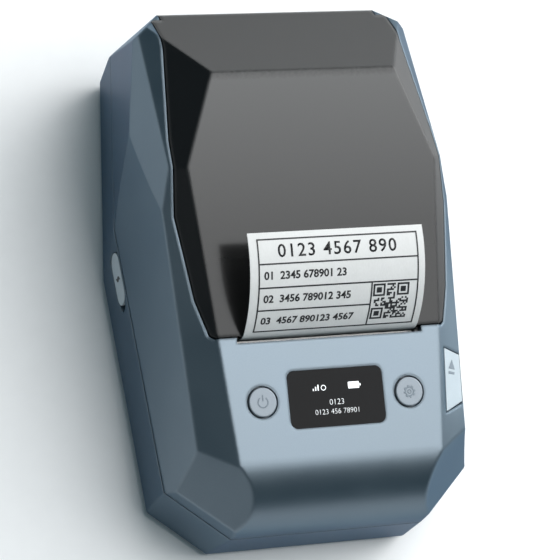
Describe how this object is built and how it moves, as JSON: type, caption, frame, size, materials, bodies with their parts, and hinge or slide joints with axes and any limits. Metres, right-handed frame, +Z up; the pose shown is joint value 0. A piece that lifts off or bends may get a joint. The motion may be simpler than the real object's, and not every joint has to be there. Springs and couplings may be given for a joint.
{
  "type": "thermal label printer",
  "caption": "Portable thermal label printer: faceted blue-grey casing, hinged dark roll lid, sloping control panel with display and keys, label leaving the slot.",
  "frame": {"origin": "on the surface it stands on, under the middle of the casing", "axes": "+X to the right of the control panel, +Y from the panel towards the lid hinge, +Z up"},
  "size_m": [0.0876, 0.145, 0.0669],
  "materials": {
    "casing_paint": "satin metallic blue-grey lacquer on moulded plastic",
    "lid_smoke": "polished dark smoke moulding",
    "window_black": "clear-coated black window",
    "button_pale": "satin pale blue key moulding",
    "board_green": "solder-masked circuit board",
    "part_black": "black moulded plastic",
    "part_grey": "grey moulded plastic",
    "gear_white": "natural acetal",
    "steel": "plain steel sheet and pins",
    "aluminium": "milled aluminium",
    "ceramic": "glazed ceramic",
    "rubber": "black rubber",
    "paper": "coated thermal paper",
    "card": "wound card tube",
    "battery_wrap": "shrink-wrapped cells"
  },
  "bodies": {
    "base": {"lower_casing": "casing_paint", "upper_casing": "casing_paint", "hinge_pin": "steel", "display_window": "window_black", "display_module": "part_black", "key_board": "board_green", "tact_switches": "part_black", "latch_spring": "steel", "idler_pin": "steel", "reduction_pin": "steel", "drive_motor": "steel", "mechanism_frame": "steel", "head_pivot_pin": "steel", "head_spring": "steel", "roll_bay": "part_black", "label_sensor": "part_black", "label_web": "paper", "tear_bar": "steel", "charge_socket": "steel", "socket_board": "board_green", "battery_pack": "battery_wrap", "main_board": "board_green", "rubber_feet": "rubber", "casing_screws": "steel"},
    "lid": {"lid_cover": "lid_smoke", "platen_bracket": "part_black", "platen_bushings": "gear_white", "printed_label": "paper"},
    "platen": {"platen_shaft": "steel", "platen_roller": "rubber", "platen_gear": "gear_white"},
    "idler": {"idler_gear": "gear_white"},
    "reduction": {"reduction_gear": "gear_white"},
    "motor_rotor": {"motor_shaft": "steel", "motor_pinion": "gear_white"},
    "head": {"print_head": "ceramic", "heat_sink": "aluminium"},
    "roll": {"label_roll": "paper", "label_core": "card"},
    "guide_right": {"roll_guide_right": "part_grey"},
    "guide_left": {"roll_guide_left": "part_grey"},
    "guide_pinion": {"centring_pinion": "gear_white"},
    "power_key": {"power_button": "button_pale"},
    "settings_key": {"settings_button": "button_pale"},
    "open_key": {"open_button": "button_pale"},
    "latch": {"latch_bar": "part_grey"},
    "flap": {"charge_flap": "part_grey"}
  },
  "joints": [
    {"name": "lid_hinge", "type": "hinge", "parent": "base", "child": "lid", "pos_m": [0, 0.0647, 0.0486], "axis": [-1, 0, 0], "range_deg": [0, 100]},
    {"name": "platen_spin", "type": "hinge", "parent": "lid", "child": "platen", "pos_m": [0, -0.019, 0.041], "axis": [1, 0, 0], "continuous": true},
    {"name": "idler_spin", "type": "hinge", "parent": "base", "child": "idler", "pos_m": [0, -0.019, 0.03142], "axis": [1, 0, 0], "continuous": true},
    {"name": "reduction_spin", "type": "hinge", "parent": "base", "child": "reduction", "pos_m": [0, -0.01348, 0.02485], "axis": [1, 0, 0], "continuous": true},
    {"name": "motor_spin", "type": "hinge", "parent": "base", "child": "motor_rotor", "pos_m": [0, -0.02125, 0.01559], "axis": [1, 0, 0], "continuous": true},
    {"name": "head_tilt", "type": "hinge", "parent": "base", "child": "head", "pos_m": [0, -0.02384, 0.0295], "axis": [1, 0, 0], "range_deg": [0, 3], "stiffness_Nm_per_rad": 0.6, "deforming": ["head_spring"]},
    {"name": "roll_spin", "type": "hinge", "parent": "base", "child": "roll", "pos_m": [0, 0.0285, 0.0345], "axis": [1, 0, 0], "continuous": true},
    {"name": "guide_right_slide", "type": "slide", "parent": "base", "child": "guide_right", "axis": [1, 0, 0], "range_m": [0, 0.004], "stiffness_N_per_m": 60},
    {"name": "guide_left_slide", "type": "slide", "parent": "base", "child": "guide_left", "axis": [-1, 0, 0], "range_m": [0, 0.004]},
    {"name": "guide_pinion_turn", "type": "hinge", "parent": "base", "child": "guide_pinion", "pos_m": [0, 0.0285, 0.006], "axis": [0, 0, 1], "range_deg": [-58, 1]},
    {"name": "power_press", "type": "slide", "parent": "base", "child": "power_key", "axis": [0, 0.2639, -0.9646], "range_m": [0, 0.0006], "stiffness_N_per_m": 400},
    {"name": "settings_press", "type": "slide", "parent": "base", "child": "settings_key", "axis": [0, 0.2639, -0.9646], "range_m": [0, 0.0006], "stiffness_N_per_m": 400},
    {"name": "open_press", "type": "slide", "parent": "base", "child": "open_key", "axis": [-0.5358, 0, -0.8443], "range_m": [0, 0.0015], "stiffness_N_per_m": 300},
    {"name": "latch_slide", "type": "slide", "parent": "base", "child": "latch", "axis": [0, -1, 0], "range_m": [0, 0.0015], "deforming": ["latch_spring"]},
    {"name": "flap_open", "type": "hinge", "parent": "base", "child": "flap", "pos_m": [-0.04302, 0.0111, 0.0148], "axis": [0, 0, -1], "range_deg": [0, 100]}
  ],
  "couplings": [
    {"joint": "idler_spin", "follows": "platen_spin", "ratio": -0.9},
    {"joint": "reduction_spin", "follows": "platen_spin", "ratio": 1.2857},
    {"joint": "motor_spin", "follows": "platen_spin", "ratio": -3.8571},
    {"joint": "guide_left_slide", "follows": "guide_right_slide", "ratio": 1},
    {"joint": "guide_pinion_turn", "follows": "guide_right_slide", "rad_per_m": -250},
    {"joint": "latch_slide", "follows": "open_press", "ratio": 1}
  ]
}
